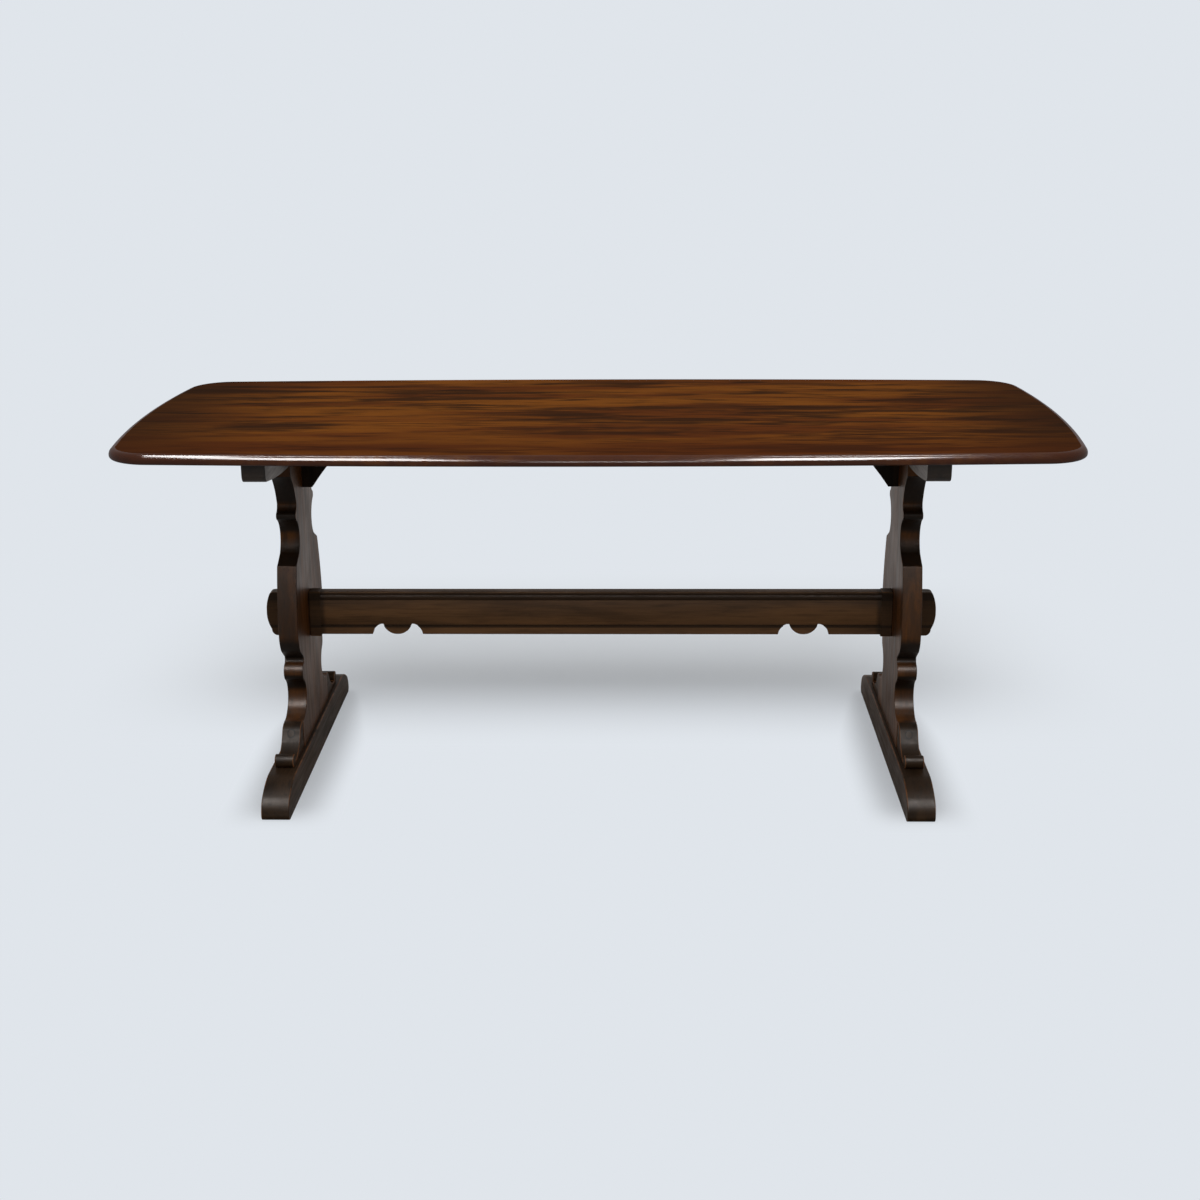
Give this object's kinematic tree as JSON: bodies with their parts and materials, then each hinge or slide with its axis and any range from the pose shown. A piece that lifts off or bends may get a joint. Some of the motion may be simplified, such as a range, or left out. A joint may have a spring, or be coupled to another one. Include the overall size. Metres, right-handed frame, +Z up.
{
  "type": "dining_table",
  "caption": "Long trestle dining table with a board top, scrolled uprights on sled feet and a moulded stretcher with through tenons.",
  "frame": {"origin": "on the floor, under the middle of the top", "axes": "X along the top to its right end, Y across the top to the back, Z up"},
  "size_m": [1.826, 0.794, 0.72],
  "materials": {
    "top_wood": "glossy",
    "frame_wood": "glossy",
    "plug_wood": "glossy",
    "wedge_wood": "matte",
    "steel": "satin"
  },
  "bodies": {
    "root": {"top_board_front": "top_wood", "top_board_front_inner": "top_wood", "top_board_middle": "top_wood", "top_board_back_inner": "top_wood", "top_board_back": "top_wood", "stretcher": "frame_wood", "upright_left": "frame_wood", "bearer_left": "frame_wood", "foot_left": "frame_wood", "knee_bracket_left": "frame_wood", "cheek_front_left": "frame_wood", "cheek_back_left": "frame_wood", "upright_right": "frame_wood", "bearer_right": "frame_wood", "foot_right": "frame_wood", "knee_bracket_right": "frame_wood", "cheek_front_right": "frame_wood", "cheek_back_right": "frame_wood", "cheek_plugs": "plug_wood", "knee_dowels": "wedge_wood", "stretcher_wedges": "wedge_wood", "bearer_screws": "steel", "knee_screws": "steel", "cheek_screws": "steel"}
  },
  "joints": []
}
